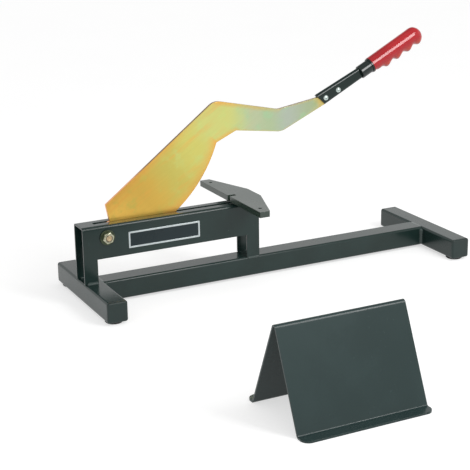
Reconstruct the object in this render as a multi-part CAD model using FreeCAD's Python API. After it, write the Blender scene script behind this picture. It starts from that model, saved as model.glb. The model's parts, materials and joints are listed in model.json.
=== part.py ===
import FreeCAD, Part

import math
import os

# Guillotine cutter for laminate flooring: a welded tube base, a folded sheet beam with a slot, a
# long blade arm that swings down through the slot, a fence plate on the beam and a loose folded
# stand that carries the far end of the board.
#
# Bench frame, millimetres: x runs along the base tube from the left foot's outer face, y runs
# along the feet with 0 on the blade's middle plane and the user at -y, z is up from the floor.
# The arm is modelled as pictured, half way down. At the end everything moves to the bottom
# centre of the whole object's box.

# Base
BASE_LENGTH = 700.0
FOOT_REACH = 120.0
FOOT_WIDTH = 35.0
TUBE_HEIGHT = 35.0
BASE_TUBE_WIDTH = 40.0
TUBE_WALL = 2.0
TUBE_CORNER = 4.0
CAP_THICKNESS = 5.0
CAP_ROUNDING = 3.5
CAP_PLUG_DEPTH = 10.0
CAP_PLUG_WALL = 2.5
PLUG_CLEARANCE = 0.15
PAD_HEIGHT = 4.0
PAD_DIAMETER = 30.0
PAD_INSET = 20.0
PAD_CHAMFER = 1.5
PAD_STEM_DIAMETER = 8.0
PAD_STEM_LENGTH = 7.0
STEM_CLEARANCE = 0.1

# Beam, a folded channel that stands on two legs left of its own side plates
BEAM_TOP = 136.5
BEAM_DEPTH = 56.5
BEAM_LENGTH = 324.0
BEAM_WIDTH = 40.0
BEAM_SHEET = 3.0
BEAM_BEND = 2.5
POST_WIDTH = 24.0
LEG_WIDTH = 24.0
SLOT_START = 25.5
SLOT_OVERRUN = 10.0
SLOT_WIDTH = 8.0

# Fence plate on the beam, over a packing plate
FENCE_INSET = 48.0
FENCE_DEPTH = 49.5
FENCE_HALF_LENGTH = 116.5
FENCE_END_DEPTH = 18.5
FENCE_NOSE_HALF = 24.5
FENCE_THICKNESS = 10.0
FENCE_CORNER = 3.0
FENCE_EDGE_CORNER = 1.0
FENCE_NOTCH_DEPTH = 13.0
FENCE_HOLE_DIAMETER = 6.4
FENCE_HOLE_INSET = 11.0
FENCE_HOLE_SPREAD = 190.0
PACKER_THICKNESS = 2.5
PACKER_GAP = 1.0
SCREW_INSET = 18.0
SCREW_SPREAD = 18.0
SCREW_DIAMETER = 6.0
SCREW_BITE = 8.0
SCREW_HEAD_DIAMETER = 10.0
SCREW_HEAD_HEIGHT = 4.0

# Pivot of the arm
PIVOT_X = 42.5
PIVOT_DROP = 20.5
BOLT_DIAMETER = 10.0
BOLT_END = 1.0
BOLT_CHAMFER = 0.8
HEX_FLATS = 17.0
HEX_TURNING = 0.6
HEAD_HEIGHT = 6.5
NUT_ANGLE = 12.0
NUT_HEIGHT = 7.5
NUT_COLLAR_HEIGHT = 1.5
NUT_COLLAR_DIAMETER = 14.0
NUT_COLLAR_CHAMFER = 0.6
WASHER_DIAMETER = 26.0
WASHER_THICKNESS = 2.0
BUSH_DIAMETER = 14.0
SPACER_DIAMETER = 18.0
DISC_THICKNESS = 1.5
RUNNING_CLEARANCE = 0.05
SIDE_CLEARANCE = 0.25
HOLE_CLEARANCE = 0.2

# Guide rails that keep the blade upright in the slot
RAIL_THICKNESS = 6.0
RAIL_HEIGHT = 16.0
RAIL_GAP = 0.6
RAIL_START_INSET = 13.5
RAIL_END_INSET = 4.0

# Blade and arm, one flat plate. Places are along and above the pivot, with the arm as pictured.
BLADE_THICKNESS = 5.0
HUB_RADIUS = 16.0
NECK_X = 12.1
NECK_Z = 20.7
BLADE_CORNER_X = 6.5
BLADE_CORNER_Z = 49.5
BLADE_CORNER_RADIUS = 1.5
CROWN_X = 208.9
CROWN_Z = 202.3
CROWN_RADIUS = 24.0
ARM_DIP_X = 330.4
ARM_DIP_Z = 174.9
ARM_KNEE_X = 336.3
ARM_KNEE_Z = 134.9
ARM_BEND_RADIUS = 30.0
CLOSING_ANGLE = 24.0
STOP_GAP = 0.3
THROAT_PAST_FENCE = 12.2
SHOULDER_PAST_FENCE = 53.2
SHOULDER_RADIUS = 4.0
HEEL_X = 46.6
HEEL_Z = -20.2
EDGE_RADIUS = 233.0
BEVEL_WIDTH = 4.5
BEVEL_LAND = 0.6

# Handle, along its own axis from the mouth of the flattened tube
HANDLE_ANGLE = 27.2
MOUTH_X = 415.5
MOUTH_Z = 180.9
MOUTH_SLANT = 20.0
FLAT_HEIGHT = 24.6
FLAT_RISE = 1.9
HANDLE_WALL = 2.4
ROUND_DIAMETER = 20.0
TUBE_LENGTH = 214.0
TONGUE_FIT = 0.1
TONGUE_CORNER = 1.0
TONGUE_TOP = 6.4
TONGUE_BOTTOM = -5.2
TONGUE_END_GAP = 2.0
ARM_TOP_AT_MOUTH = 8.5
ARM_BOTTOM_AT_MOUTH = -9.5
RIVET_FIRST = 9.6
RIVET_PITCH = 27.5
RIVET_DROP = 1.2
RIVET_DIAMETER = 6.0
RIVET_HEAD_DIAMETER = 10.0
RIVET_HEAD_HEIGHT = 2.6
RIVET_HOLE_DIAMETER = 2.2
RIVET_HOLE_DEPTH = 3.5
COLLAR_START = 90.0
COLLAR_LENGTH = 25.0
COLLAR_DIAMETER = 23.6
COLLAR_CHAMFER = 0.8
COLLAR_LIP = 1.5
COLLAR_LIP_LENGTH = 2.5
GRIP_LENGTH = 114.5
GRIP_START_RADIUS = 14.0
GRIP_END_RADIUS = 15.2
GRIP_HALF_WIDTH = 14.4
GRIP_RIDGE_FIRST = 29.0
GRIP_RIDGE_PITCH = 24.5
GRIP_RIDGES = 4
GRIP_RIDGE_DEPTH = 20.0
GRIP_GROOVE_DEPTH = 13.9
GRIP_NOSE = 16.0
GRIP_NOSE_DROP = 4.0
GRIP_NOSE_SECTIONS = 6
GRIP_FIT = 0.1

# Loose stand for the far end of the board
STAND_X = 70.5
STAND_WIDTH = 202.0
STAND_DISTANCE = 544.5
STAND_SPREAD = 127.0
STAND_FLANGE = 18.5
STAND_SHEET = 3.0
STAND_BEND = 2.5
STAND_CORNER = 12.0

# Welds
WELD_LEG = 3.5
WELD_BULGE = 0.6
WELD_CROWN = 0.8
WELD_END_GAP = 1.0

# How far a cutting tool runs past the faces it cuts
PAST = 1.0

# The share of a radius that a point halfway round a quarter circle lies from each axis
DIAGONAL = math.sqrt(0.5)

# Places that follow from the sizes
TUBE_BOTTOM = PAD_HEIGHT
TUBE_TOP = TUBE_BOTTOM + TUBE_HEIGHT
RIGHT_FOOT_X = BASE_LENGTH - FOOT_WIDTH
BEAM_UNDERSIDE = BEAM_TOP - BEAM_DEPTH
BEAM_SIDE = BEAM_WIDTH / 2
BEAM_INNER_SIDE = BEAM_SIDE - BEAM_SHEET
FENCE_X = BEAM_LENGTH - FENCE_INSET
SLOT_END = FENCE_X + SLOT_OVERRUN
FENCE_UNDERSIDE = BEAM_TOP + PACKER_THICKNESS
FENCE_TOP = FENCE_UNDERSIDE + FENCE_THICKNESS
SCREW_X = BEAM_LENGTH - SCREW_INSET
PIVOT_Z = BEAM_TOP - PIVOT_DROP
RAIL_START = PIVOT_X + WASHER_DIAMETER / 2 + RAIL_START_INSET
RAIL_END = SLOT_END - RAIL_END_INSET
FLAT_THICKNESS = BLADE_THICKNESS + 2 * TONGUE_FIT + 2 * HANDLE_WALL
COLLAR_END = COLLAR_START + COLLAR_LENGTH
Y_AXIS = FreeCAD.Vector(0, 1, 0)


def vec(x, y, z):
    return FreeCAD.Vector(x, y, z)


def block(x0, y0, z0, x1, y1, z1):
    """A box between two opposite corners."""
    return Part.makeBox(x1 - x0, y1 - y0, z1 - z0, vec(x0, y0, z0))


def round_bar(radius, y0, y1, x=0.0, z=0.0):
    """A cylinder along y."""
    return Part.makeCylinder(radius, y1 - y0, vec(x, y0, z), Y_AXIS)


def upright_bar(radius, z0, z1, x, y):
    """A cylinder along z."""
    return Part.makeCylinder(radius, z1 - z0, vec(x, y, z0))


def ring(outer, inner, y0, y1):
    """A tube along y on the pivot's axis."""
    bar = round_bar(outer, y0, y1, PIVOT_X, PIVOT_Z)
    return bar.cut(round_bar(inner, y0, y1, PIVOT_X, PIVOT_Z))


def on_side(shape, side):
    """The shape itself behind the blade, or its mirror image in front of it."""
    return shape if side > 0 else shape.mirror(vec(0, 0, 0), Y_AXIS)


def edges_at_y(shape, y):
    """The edges of a shape that lie wholly at one y."""
    return [e for e in shape.Edges if abs(e.BoundBox.YMin - y) < 1e-6 and e.BoundBox.YLength < 1e-6]


def hexagon(flats, y0, y1, x, z, turn=0.0):
    """A hexagonal prism along y with its corners turned off by a cone at both ends."""
    corner = flats / math.sqrt(3)
    points = []
    for k in range(7):
        angle = math.radians(60 * k + turn)
        points.append(vec(x + corner * math.cos(angle), y0, z + corner * math.sin(angle)))
    prism = Part.Face(Part.makePolygon(points)).extrude(vec(0, y1 - y0, 0))
    drop = (corner - flats / 2) * HEX_TURNING
    profile = [
        vec(x, y0, z),
        vec(x + flats / 2, y0, z),
        vec(x + corner, y0 + drop, z),
        vec(x + corner, y1 - drop, z),
        vec(x + flats / 2, y1, z),
        vec(x, y1, z),
        vec(x, y0, z),
    ]
    turned_bar = Part.Face(Part.makePolygon(profile)).revolve(vec(x, y0, z), Y_AXIS, 360)
    return prism.common(turned_bar)


def rounded_loop(corners, place):
    """A closed wire through corners (u, v, radius), each rounded by an arc of its radius.

    place turns a pair (u, v) into a point in space.
    """
    count = len(corners)
    starts = []
    ends = []
    middles = []
    for k in range(count):
        u, v, radius = corners[k]
        before = corners[k - 1]
        after = corners[(k + 1) % count]
        back = (before[0] - u, before[1] - v)
        ahead = (after[0] - u, after[1] - v)
        back_length = math.hypot(*back)
        ahead_length = math.hypot(*ahead)
        back = (back[0] / back_length, back[1] / back_length)
        ahead = (ahead[0] / ahead_length, ahead[1] / ahead_length)
        if radius <= 0:
            starts.append((u, v))
            ends.append((u, v))
            middles.append(None)
            continue
        half = math.acos(max(-1.0, min(1.0, back[0] * ahead[0] + back[1] * ahead[1]))) / 2
        run = radius / math.tan(half)
        starts.append((u + back[0] * run, v + back[1] * run))
        ends.append((u + ahead[0] * run, v + ahead[1] * run))
        mid = (back[0] + ahead[0], back[1] + ahead[1])
        mid_length = math.hypot(*mid)
        away = radius / math.sin(half) - radius
        middles.append((u + mid[0] / mid_length * away, v + mid[1] / mid_length * away))
    edges = []
    for k in range(count):
        if middles[k] is not None:
            arc = Part.Arc(place(*starts[k]), place(*middles[k]), place(*ends[k]))
            edges.append(arc.toShape())
        following = starts[(k + 1) % count]
        if math.hypot(following[0] - ends[k][0], following[1] - ends[k][1]) > 1e-6:
            edges.append(Part.makeLine(place(*ends[k]), place(*following)))
    return Part.Wire(edges)


def rectangle(u0, v0, u1, v1, radius):
    return [(u0, v0, radius), (u1, v0, radius), (u1, v1, radius), (u0, v1, radius)]


def folded_sheet(points, thickness, bend):
    """Corners of the cross-section of a sheet folded along points.

    points lie on the face at the sheet's left as it runs along; the other face is one thickness
    to the right. bend is the radius inside each fold.
    """

    def shifted(distance):
        line = []
        for k in range(len(points)):
            normals = []
            for a, b in ((k - 1, k), (k, k + 1)):
                if a < 0 or b >= len(points):
                    continue
                du = points[b][0] - points[a][0]
                dv = points[b][1] - points[a][1]
                length = math.hypot(du, dv)
                normals.append((dv / length, -du / length))
            first = normals[0]
            last = normals[-1]
            total = 1 + first[0] * last[0] + first[1] * last[1]
            su = (first[0] + last[0]) / total
            sv = (first[1] + last[1]) / total
            line.append((points[k][0] + su * distance, points[k][1] + sv * distance))
        return line

    near = shifted(0.0)
    far = shifted(thickness)
    corners = []
    for k in range(len(points)):
        corners.append((near[k][0], near[k][1], fold_radius(points, k, bend, thickness, True)))
    for k in reversed(range(len(points))):
        corners.append((far[k][0], far[k][1], fold_radius(points, k, bend, thickness, False)))
    return corners


def fold_radius(points, k, bend, thickness, left_face):
    """The inner radius on the face inside a fold, the outer one on the other face."""
    if k == 0 or k == len(points) - 1:
        return 0.0
    au = points[k][0] - points[k - 1][0]
    av = points[k][1] - points[k - 1][1]
    bu = points[k + 1][0] - points[k][0]
    bv = points[k + 1][1] - points[k][1]
    turns_left = au * bv - av * bu > 0
    return bend if turns_left == left_face else bend + thickness


def square_tube(width, height, place, run):
    """A square tube along run, its section centred on u = 0 and standing on v = 0."""
    half = width / 2
    w = TUBE_WALL
    outside = rounded_loop(rectangle(-half, 0, half, height, TUBE_CORNER), place)
    inside = rectangle(-half + w, w, half - w, height - w, TUBE_CORNER - w)
    bore = Part.Face(rounded_loop(inside, place)).extrude(run)
    return Part.Face(outside).extrude(run).cut(bore)


def pad_places():
    return (-(FOOT_REACH - PAD_INSET), FOOT_REACH - PAD_INSET)


def foot_tube(x0):
    """One foot, a square tube along y with two stem holes in its underside."""
    middle = x0 + FOOT_WIDTH / 2
    end = FOOT_REACH - CAP_THICKNESS

    def place(u, v):
        return vec(middle + u, -end, TUBE_BOTTOM + v)

    tube = square_tube(FOOT_WIDTH, TUBE_HEIGHT, place, vec(0, 2 * end, 0))
    radius = PAD_STEM_DIAMETER / 2 + STEM_CLEARANCE
    for y in pad_places():
        hole = upright_bar(radius, TUBE_BOTTOM - PAST, TUBE_BOTTOM + TUBE_WALL + PAST, middle, y)
        tube = tube.cut(hole)
    return tube


def end_cap(x0, side):
    """A plastic cap for the end of a foot: a domed plate with a hollow plug."""
    middle = x0 + FOOT_WIDTH / 2
    face_y = FOOT_REACH - CAP_THICKNESS
    half = FOOT_WIDTH / 2

    def slab(corners, y, depth):
        loop = rounded_loop(corners, lambda u, v: vec(middle + u, y, TUBE_BOTTOM + v))
        return Part.Face(loop).extrude(vec(0, depth, 0))

    plate = slab(rectangle(-half, 0, half, TUBE_HEIGHT, TUBE_CORNER), face_y, CAP_THICKNESS)
    plate = plate.makeFillet(CAP_ROUNDING, edges_at_y(plate, FOOT_REACH))
    gap = TUBE_WALL + PLUG_CLEARANCE
    plug = rectangle(-half + gap, gap, half - gap, TUBE_HEIGHT - gap, TUBE_CORNER - TUBE_WALL)
    inset = gap + CAP_PLUG_WALL
    core = rectangle(-half + inset, inset, half - inset, TUBE_HEIGHT - inset, 0.0)
    start = face_y - CAP_PLUG_DEPTH
    sleeve = slab(plug, start, CAP_PLUG_DEPTH).cut(slab(core, start, CAP_PLUG_DEPTH))
    return on_side(plate.fuse(sleeve).removeSplitter(), side)


def rubber_pad(x0, y):
    """A round rubber foot with a stem that snaps into the tube."""
    middle = x0 + FOOT_WIDTH / 2
    pad = upright_bar(PAD_DIAMETER / 2, 0, PAD_HEIGHT, middle, y)
    rim = [e for e in pad.Edges if abs(e.BoundBox.ZMax) < 1e-6]
    pad = pad.makeChamfer(PAD_CHAMFER, rim)
    stem = upright_bar(PAD_STEM_DIAMETER / 2, PAD_HEIGHT, PAD_HEIGHT + PAD_STEM_LENGTH, middle, y)
    return pad.fuse(stem).removeSplitter()


def base_tube():
    """The long tube between the feet, butted on their inner faces."""

    def place(u, v):
        return vec(FOOT_WIDTH, u, TUBE_BOTTOM + v)

    return square_tube(BASE_TUBE_WIDTH, TUBE_HEIGHT, place, vec(RIGHT_FOOT_X - FOOT_WIDTH, 0, 0))


def beam_channel():
    """A folded channel, open below, with a window that leaves a post and a leg at its ends."""
    half = BEAM_SIDE
    line = [(-half, TUBE_TOP), (-half, BEAM_TOP), (half, BEAM_TOP), (half, TUBE_TOP)]
    corners = folded_sheet(line, BEAM_SHEET, BEAM_BEND)
    channel = Part.Face(rounded_loop(corners, lambda u, v: vec(0, u, v)))
    channel = channel.extrude(vec(BEAM_LENGTH, 0, 0))
    window_end = BEAM_LENGTH - LEG_WIDTH
    window = block(POST_WIDTH, -BEAM_WIDTH, TUBE_TOP - PAST, window_end, BEAM_WIDTH, BEAM_UNDERSIDE)
    gap = SLOT_WIDTH / 2
    slot = block(SLOT_START, -gap, BEAM_UNDERSIDE, SLOT_END, gap, BEAM_TOP + PAST)
    channel = channel.cut(window).cut(slot)
    radius = BOLT_DIAMETER / 2 + HOLE_CLEARANCE
    channel = channel.cut(round_bar(radius, -BEAM_WIDTH, BEAM_WIDTH, PIVOT_X, PIVOT_Z))
    return channel.cut(screw_holes(BEAM_TOP - BEAM_SHEET, BEAM_TOP, HOLE_CLEARANCE))


def screw_places():
    return (-SCREW_SPREAD / 2, SCREW_SPREAD / 2)


def screw_holes(z0, z1, clearance):
    """The two holes that the fence screws need between two heights."""
    radius = SCREW_DIAMETER / 2 + clearance
    return Part.Compound([upright_bar(radius, z0, z1, SCREW_X, y) for y in screw_places()])


def fence_plate():
    """The thick plate that the board is pushed against, notched for the blade."""
    near = FENCE_X
    nose = near + FENCE_DEPTH
    shoulder = near + FENCE_END_DEPTH
    notch = SLOT_WIDTH / 2
    notch_end = near + FENCE_NOTCH_DEPTH
    end = FENCE_HALF_LENGTH
    corners = [
        (near, -end, FENCE_EDGE_CORNER),
        (shoulder, -end, FENCE_CORNER),
        (nose, -FENCE_NOSE_HALF, FENCE_CORNER),
        (nose, FENCE_NOSE_HALF, FENCE_CORNER),
        (shoulder, end, FENCE_CORNER),
        (near, end, FENCE_EDGE_CORNER),
        (near, notch, FENCE_EDGE_CORNER),
        (notch_end, notch, FENCE_EDGE_CORNER),
        (notch_end, -notch, FENCE_EDGE_CORNER),
        (near, -notch, FENCE_EDGE_CORNER),
    ]
    plate = Part.Face(rounded_loop(corners, lambda u, v: vec(u, v, FENCE_UNDERSIDE)))
    plate = plate.extrude(vec(0, 0, FENCE_THICKNESS))
    radius = FENCE_HOLE_DIAMETER / 2
    for y in (-FENCE_HOLE_SPREAD / 2, FENCE_HOLE_SPREAD / 2):
        hole = upright_bar(radius, FENCE_UNDERSIDE, FENCE_TOP, near + FENCE_HOLE_INSET, y)
        plate = plate.cut(hole)
    return plate.cut(screw_holes(FENCE_UNDERSIDE, FENCE_UNDERSIDE + SCREW_BITE, 0.0))


def fence_packer():
    """A packing plate that lifts the fence off the beam's top."""
    start = FENCE_X + FENCE_NOTCH_DEPTH + PACKER_GAP
    end = min(FENCE_X + FENCE_DEPTH, BEAM_LENGTH) - PACKER_GAP
    side = BEAM_SIDE - BEAM_BEND - BEAM_SHEET
    packer = block(start, -side, BEAM_TOP, end, side, FENCE_UNDERSIDE)
    return packer.cut(screw_holes(BEAM_TOP, FENCE_UNDERSIDE, HOLE_CLEARANCE))


def fence_screw(y):
    """A cap screw from below that pulls the fence onto the beam."""
    under = BEAM_TOP - BEAM_SHEET
    head = upright_bar(SCREW_HEAD_DIAMETER / 2, under - SCREW_HEAD_HEIGHT, under, SCREW_X, y)
    shank = upright_bar(SCREW_DIAMETER / 2, under, FENCE_UNDERSIDE + SCREW_BITE, SCREW_X, y)
    return head.fuse(shank).removeSplitter()


def guide_rail(side):
    """A strip under the beam's top, beside the blade."""
    near = BLADE_THICKNESS / 2 + RAIL_GAP
    top = BEAM_TOP - BEAM_SHEET
    rail = block(RAIL_START, near, top - RAIL_HEIGHT, RAIL_END, near + RAIL_THICKNESS, top)
    return on_side(rail, side)


def pivot_bolt():
    """A hexagon bolt from behind, its plain end showing in the nut at the front."""
    back = BEAM_SIDE + WASHER_THICKNESS
    front = -(back + NUT_HEIGHT + BOLT_END)
    head = hexagon(HEX_FLATS, back, back + HEAD_HEIGHT, PIVOT_X, PIVOT_Z)
    shank = round_bar(BOLT_DIAMETER / 2, front, back, PIVOT_X, PIVOT_Z)
    shank = shank.makeChamfer(BOLT_CHAMFER, edges_at_y(shank, front))
    return head.fuse(shank).removeSplitter()


def pivot_nut():
    """A lock nut: a hexagon with a turned collar at the front."""
    seat = -(BEAM_SIDE + WASHER_THICKNESS)
    front = seat - NUT_HEIGHT
    body = hexagon(HEX_FLATS, front + NUT_COLLAR_HEIGHT, seat, PIVOT_X, PIVOT_Z, NUT_ANGLE)
    neck = round_bar(NUT_COLLAR_DIAMETER / 2, front, seat - NUT_COLLAR_HEIGHT, PIVOT_X, PIVOT_Z)
    neck = neck.makeChamfer(NUT_COLLAR_CHAMFER, edges_at_y(neck, front))
    bore = round_bar(BOLT_DIAMETER / 2, front, seat, PIVOT_X, PIVOT_Z)
    return body.fuse(neck).cut(bore).removeSplitter()


def pivot_washer(side):
    """A washer outside a side plate, under the nut or the bolt's head."""
    inner = BOLT_DIAMETER / 2 + HOLE_CLEARANCE
    washer = ring(WASHER_DIAMETER / 2, inner, BEAM_SIDE, BEAM_SIDE + WASHER_THICKNESS)
    return on_side(washer, side)


def friction_disc(side):
    """A thin disc on the bolt beside the blade."""
    inner = BOLT_DIAMETER / 2 + HOLE_CLEARANCE
    start = BLADE_THICKNESS / 2 + SIDE_CLEARANCE
    return on_side(ring(WASHER_DIAMETER / 2, inner, start, start + DISC_THICKNESS), side)


def pivot_spacer(side):
    """A tube on the bolt between the friction disc and the side plate."""
    inner = BOLT_DIAMETER / 2 + HOLE_CLEARANCE
    start = BLADE_THICKNESS / 2 + SIDE_CLEARANCE + DISC_THICKNESS
    return on_side(ring(SPACER_DIAMETER / 2, inner, start, BEAM_INNER_SIDE), side)


def pivot_bush():
    """A bronze bush in the blade's eye, running on the bolt."""
    half = BLADE_THICKNESS / 2
    return ring(BUSH_DIAMETER / 2, BOLT_DIAMETER / 2 + RUNNING_CLEARANCE, -half, half)


def turned(u, v, degrees):
    """A point turned about the pivot, anticlockwise as seen from the front."""
    c = math.cos(math.radians(degrees))
    s = math.sin(math.radians(degrees))
    return (u * c - v * s, u * s + v * c)


def on_axis(along, above):
    """A place by the handle's own axes, along and above the pivot."""
    u, v = turned(along, above, HANDLE_ANGLE)
    return (MOUTH_X + u, MOUTH_Z + v)


def at_mouth(above):
    """A place on the slanted mouth of the handle tube."""
    return on_axis(-above * math.tan(math.radians(MOUTH_SLANT)), above)


def tongue_end():
    return RIVET_FIRST + RIVET_PITCH + RIVET_DIAMETER / 2 + TONGUE_END_GAP


def blade_plate():
    """The blade and its arm, with a conical bevel on the back of the curved edge.

    When the arm is down, the straight edge from the throat to the shoulder lies along the fence's
    top, and the curved edge has passed through the fence's notch and the beam's slot.
    """
    stop_height = FENCE_TOP + STOP_GAP - PIVOT_Z
    fence = FENCE_X - PIVOT_X
    throat = turned(fence + THROAT_PAST_FENCE, stop_height, CLOSING_ANGLE)
    shoulder = turned(fence + SHOULDER_PAST_FENCE, stop_height, CLOSING_ANGLE)
    heel = (HEEL_X, HEEL_Z)
    half = BLADE_THICKNESS / 2
    corners = [
        (0.0, -HUB_RADIUS, 0.0),
        (*heel, 0.0),
        (*throat, 0.0),
        (*shoulder, SHOULDER_RADIUS),
        (ARM_KNEE_X, ARM_KNEE_Z, ARM_BEND_RADIUS),
        (*at_mouth(ARM_BOTTOM_AT_MOUTH), 0.0),
        (*at_mouth(TONGUE_BOTTOM), 0.0),
        (*on_axis(tongue_end(), TONGUE_BOTTOM), TONGUE_CORNER),
        (*on_axis(tongue_end(), TONGUE_TOP), TONGUE_CORNER),
        (*at_mouth(TONGUE_TOP), 0.0),
        (*at_mouth(ARM_TOP_AT_MOUTH), 0.0),
        (ARM_DIP_X, ARM_DIP_Z, ARM_BEND_RADIUS),
        (CROWN_X, CROWN_Z, CROWN_RADIUS),
        (BLADE_CORNER_X, BLADE_CORNER_Z, BLADE_CORNER_RADIUS),
        (NECK_X, NECK_Z, 0.0),
        (0.0, HUB_RADIUS, 0.0),
    ]
    outline = rounded_loop(corners, lambda u, v: vec(u, -half, v))
    plate = Part.Face(outline).extrude(vec(0, BLADE_THICKNESS, 0))
    plate = plate.fuse(round_bar(HUB_RADIUS, -half, half))
    centre = arc_centre(heel, throat, EDGE_RADIUS)
    plate = plate.fuse(belly(heel, throat, centre)).removeSplitter()
    plate = plate.cut(bevel_cutter(heel, throat, centre))
    plate = plate.cut(round_bar(BUSH_DIAMETER / 2, -half, half))
    for along in rivet_places():
        u, v = on_axis(along, rivet_height(along))
        plate = plate.cut(round_bar(RIVET_DIAMETER / 2, -half, half, u, v))
    plate.translate(vec(PIVOT_X, 0, PIVOT_Z))
    return plate


def arc_centre(a, b, radius):
    """The centre, on the upper left, of the arc of that radius from a up to b."""
    mid = ((a[0] + b[0]) / 2, (a[1] + b[1]) / 2)
    du = b[0] - a[0]
    dv = b[1] - a[1]
    chord = math.hypot(du, dv)
    rise = math.sqrt(radius**2 - chord**2 / 4)
    return (mid[0] - dv / chord * rise, mid[1] + du / chord * rise)


def belly(heel, throat, centre):
    """The stretch of plate between the chord from heel to throat and the cutting arc."""
    half = BLADE_THICKNESS / 2
    mid = ((heel[0] + throat[0]) / 2, (heel[1] + throat[1]) / 2)
    out = (mid[0] - centre[0], mid[1] - centre[1])
    length = math.hypot(*out)
    top = (centre[0] + out[0] / length * EDGE_RADIUS, centre[1] + out[1] / length * EDGE_RADIUS)
    a = vec(heel[0], -half, heel[1])
    b = vec(throat[0], -half, throat[1])
    arc = Part.Arc(a, vec(top[0], -half, top[1]), b).toShape()
    return Part.Face(Part.Wire([arc, Part.makeLine(b, a)])).extrude(vec(0, BLADE_THICKNESS, 0))


def bevel_cutter(heel, throat, centre):
    """A ring with a conical bore, kept only along the cutting edge."""
    back = BLADE_THICKNESS / 2
    front = BEVEL_LAND - back
    rim = centre[0] + EDGE_RADIUS
    section = [
        vec(rim, front, centre[1]),
        vec(rim + PAST, front, centre[1]),
        vec(rim + PAST, back + PAST, centre[1]),
        vec(rim - BEVEL_WIDTH, back + PAST, centre[1]),
        vec(rim - BEVEL_WIDTH, back, centre[1]),
        vec(rim, front, centre[1]),
    ]
    start = math.degrees(math.atan2(heel[1] - centre[1], heel[0] - centre[0]))
    end = math.degrees(math.atan2(throat[1] - centre[1], throat[0] - centre[0]))
    face = Part.Face(Part.makePolygon(section))
    hub = vec(centre[0], 0, centre[1])
    face.rotate(hub, Y_AXIS, -start)
    return face.revolve(hub, Y_AXIS, -(end - start))


def on_handle(shape):
    """Moves a shape from the handle's own axes (x along, z across) to its place."""
    shape.rotate(vec(0, 0, 0), Y_AXIS, -HANDLE_ANGLE)
    shape.translate(vec(PIVOT_X + MOUTH_X, 0, PIVOT_Z + MOUTH_Z))
    return shape


def rivet_places():
    return (RIVET_FIRST, RIVET_FIRST + RIVET_PITCH)


def rivet_height(along):
    """How far above the handle's axis a rivet sits: the first on it, the second a little lower."""
    return -RIVET_DROP * (along - RIVET_FIRST) / RIVET_PITCH


def flat_outline(x, inset, slant=0.0):
    """The outline of the pressed part of the handle tube at x, moved in by inset.

    It has two straight sides and two half rounds, which come closer together up to the collar.
    slant leans the outline back like the mouth.
    """
    part = x / COLLAR_START
    height = FLAT_HEIGHT + (ROUND_DIAMETER - FLAT_HEIGHT) * part
    rise = FLAT_RISE * (1 - part)
    side = FLAT_THICKNESS / 2 - inset
    level = (height - FLAT_THICKNESS) / 2
    top = height / 2 - inset

    def point(y, z):
        return vec(x, y, z + rise)

    upper = Part.Arc(point(-side, level), point(0, top), point(side, level)).toShape()
    back = Part.makeLine(point(side, level), point(side, -level))
    lower = Part.Arc(point(side, -level), point(0, -top), point(-side, -level)).toShape()
    front = Part.makeLine(point(-side, -level), point(-side, level))
    lean = FreeCAD.Matrix()
    lean.A13 = -math.tan(math.radians(slant))
    return Part.Wire([upper, back, lower, front]).transformGeometry(lean)


def round_outline(x, inset):
    """The round part's outline at x, as four arcs."""
    radius = ROUND_DIAMETER / 2 - inset
    middles = [(0, 1), (1, 0), (0, -1), (-1, 0)]
    corners = [(-DIAGONAL, DIAGONAL), (DIAGONAL, DIAGONAL), (DIAGONAL, -DIAGONAL), (-DIAGONAL, -DIAGONAL)]
    arcs = []
    for k in range(4):
        places = (corners[k], middles[k], corners[(k + 1) % 4])
        arcs.append(Part.Arc(*[vec(x, y * radius, z * radius) for y, z in places]).toShape())
    return Part.Wire(arcs)


def handle_bar(inset, start=0.0):
    """The handle tube as a solid bar, moved in by inset: pressed flat, then round in the collar."""
    round_start = COLLAR_END - COLLAR_LIP_LENGTH
    mouth = flat_outline(start, inset, MOUTH_SLANT)
    pressed_end = flat_outline(COLLAR_START, inset)
    flat = Part.makeLoft([mouth, pressed_end], True, True)
    neck = Part.makeLoft([pressed_end, round_outline(round_start, inset)], True, True)
    end = Part.Face(round_outline(round_start, inset)).extrude(vec(TUBE_LENGTH - round_start, 0, 0))
    return flat.fuse(neck).fuse(end)


def handle_tube():
    """A round tube pressed flat up to the collar, cut at a slant at its mouth."""
    tube = handle_bar(0.0).cut(handle_bar(HANDLE_WALL, -PAST))
    for along in rivet_places():
        hole = round_bar(RIVET_DIAMETER / 2, -FLAT_THICKNESS, FLAT_THICKNESS, along, rivet_height(along))
        tube = tube.cut(hole)
    return on_handle(tube)


def handle_rivet(along):
    """A blind rivet through the tube and the arm's tongue, domed at both ends."""
    seat = FLAT_THICKNESS / 2
    radius = RIVET_HEAD_DIAMETER / 2
    level = rivet_height(along)
    sphere = (radius**2 + RIVET_HEAD_HEIGHT**2) / (2 * RIVET_HEAD_HEIGHT)
    dome = Part.makeSphere(sphere, vec(along, seat + RIVET_HEAD_HEIGHT - sphere, level))
    keep = round_bar(radius + PAST, seat, seat + RIVET_HEAD_HEIGHT + PAST, along, level)
    head = dome.common(keep)
    shank = round_bar(RIVET_DIAMETER / 2, -seat, seat, along, level)
    rivet = head.fuse(shank).fuse(on_side(head, -1)).removeSplitter()
    face = -(seat + RIVET_HEAD_HEIGHT)
    hole = round_bar(RIVET_HOLE_DIAMETER / 2, face - PAST, face + RIVET_HOLE_DEPTH, along, level)
    return on_handle(rivet.cut(hole))


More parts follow.
